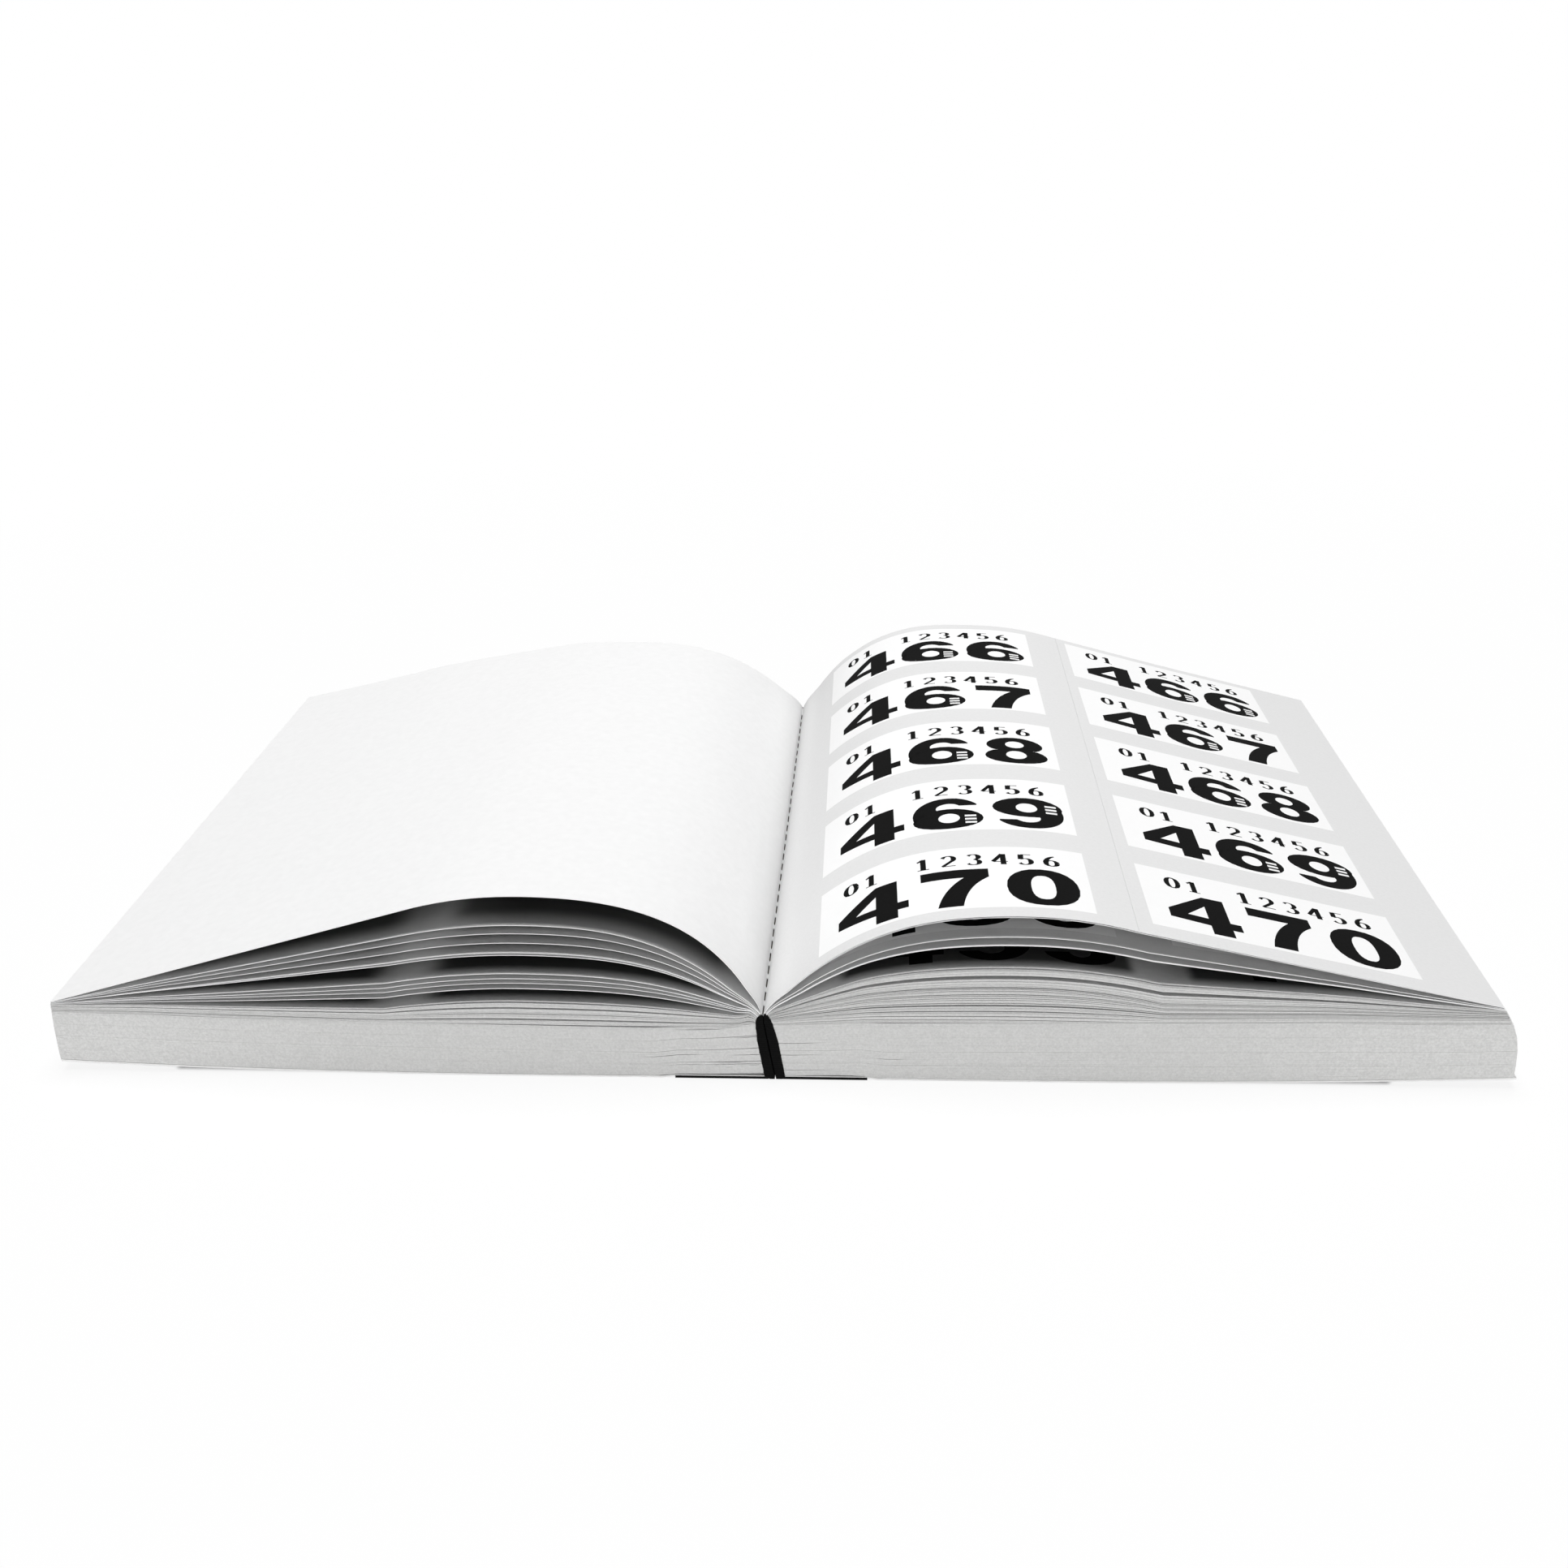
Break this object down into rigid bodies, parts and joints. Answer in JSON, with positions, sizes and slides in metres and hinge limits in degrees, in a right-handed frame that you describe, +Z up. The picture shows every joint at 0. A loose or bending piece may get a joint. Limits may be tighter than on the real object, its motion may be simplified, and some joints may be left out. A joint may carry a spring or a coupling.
{
  "type": "raffle ticket book",
  "caption": "Thick pad of perforated raffle tickets lying open, its taped spine folded back and its leaves springing up from both halves.",
  "frame": {"origin": "on the table, under the middle of the folded spine, at the middle of the spine's length", "axes": "+X across the open book towards the half with the printed top leaf, +Y along the spine away from the reader, +Z up from the table"},
  "size_m": [0.2282, 0.127, 0.0323],
  "materials": {
    "cover_card": "matte",
    "leaf_paper": "matte",
    "pressed_paper": "matte",
    "printed_paper": "matte",
    "binding_tape": "matte",
    "binding_glue": "satin"
  },
  "bodies": {
    "right_half": {"right_stack_1": "pressed_paper", "right_stack_2": "pressed_paper", "right_stack_3": "pressed_paper", "right_stack_4": "pressed_paper", "right_spine_glue": "binding_glue", "right_spine_tape": "binding_tape", "right_fan_01": "leaf_paper", "right_fan_02": "leaf_paper", "right_fan_03": "leaf_paper", "right_fan_04": "leaf_paper", "right_fan_05": "leaf_paper", "right_fan_06": "leaf_paper", "right_fan_07": "leaf_paper", "right_fan_08": "leaf_paper", "right_fan_09": "leaf_paper", "right_fan_10": "leaf_paper", "right_fan_11": "leaf_paper", "right_fan_12": "leaf_paper", "right_fan_13": "leaf_paper"},
    "ticket_leaf": {"ticket_leaf": "printed_paper"},
    "ticket_column": {"ticket_column": "printed_paper"},
    "back_cover": {"back_cover": "cover_card", "back_tape_lap": "binding_tape"},
    "left_half": {"left_stack_1": "pressed_paper", "left_stack_2": "pressed_paper", "left_stack_3": "pressed_paper", "left_stack_4": "pressed_paper", "left_spine_glue": "binding_glue", "left_spine_tape": "binding_tape", "left_fan_01": "leaf_paper", "left_fan_02": "leaf_paper", "left_fan_03": "leaf_paper", "left_fan_04": "leaf_paper", "left_fan_05": "leaf_paper", "left_fan_06": "leaf_paper", "left_fan_07": "leaf_paper", "left_fan_08": "leaf_paper", "left_fan_09": "leaf_paper", "left_fan_10": "leaf_paper", "left_fan_11": "leaf_paper", "left_fan_12": "leaf_paper", "left_fan_13": "leaf_paper", "left_fan_14": "leaf_paper"},
    "facing_leaf": {"facing_leaf": "leaf_paper"},
    "front_cover": {"front_cover": "cover_card", "front_tape_lap": "binding_tape"}
  },
  "joints": [
    {"name": "book_close", "type": "hinge", "parent": "right_half", "child": "left_half", "pos_m": [0, 0, 0.01198], "axis": [0, 1, 0], "range_deg": [0, 176], "deforming": ["left_fan_01", "left_fan_02", "left_fan_03", "left_fan_04", "left_fan_05", "left_fan_06", "left_fan_07", "left_fan_08", "left_fan_09", "left_fan_10", "left_fan_11", "left_fan_12", "left_fan_13", "left_fan_14", "facing_leaf", "right_fan_01", "right_fan_02", "right_fan_03", "right_fan_04", "right_fan_05", "right_fan_06", "right_fan_07", "right_fan_08", "right_fan_09", "right_fan_10", "right_fan_11", "right_fan_12", "right_fan_13", "ticket_leaf", "ticket_column"]},
    {"name": "ticket_leaf_lift", "type": "hinge", "parent": "right_half", "child": "ticket_leaf", "pos_m": [0.00025, 0, 0.01192], "axis": [0, 1, 0], "range_deg": [-30, 0]},
    {"name": "ticket_column_fold", "type": "hinge", "parent": "ticket_leaf", "child": "ticket_column", "pos_m": [0.05554, 0, 0.02721], "axis": [0, 1, 0], "range_deg": [-110, 0]},
    {"name": "facing_leaf_lift", "type": "hinge", "parent": "left_half", "child": "facing_leaf", "pos_m": [-0.0005, 0, 0.01182], "axis": [0, -1, 0], "range_deg": [-25, 0]},
    {"name": "front_cover_open", "type": "hinge", "parent": "left_half", "child": "front_cover", "pos_m": [-0.00143, 0, 0], "axis": [0, -1, 0], "range_deg": [0, 175]},
    {"name": "back_cover_open", "type": "hinge", "parent": "right_half", "child": "back_cover", "pos_m": [0.00143, 0, 0], "axis": [0, 1, 0], "range_deg": [0, 175]}
  ]
}
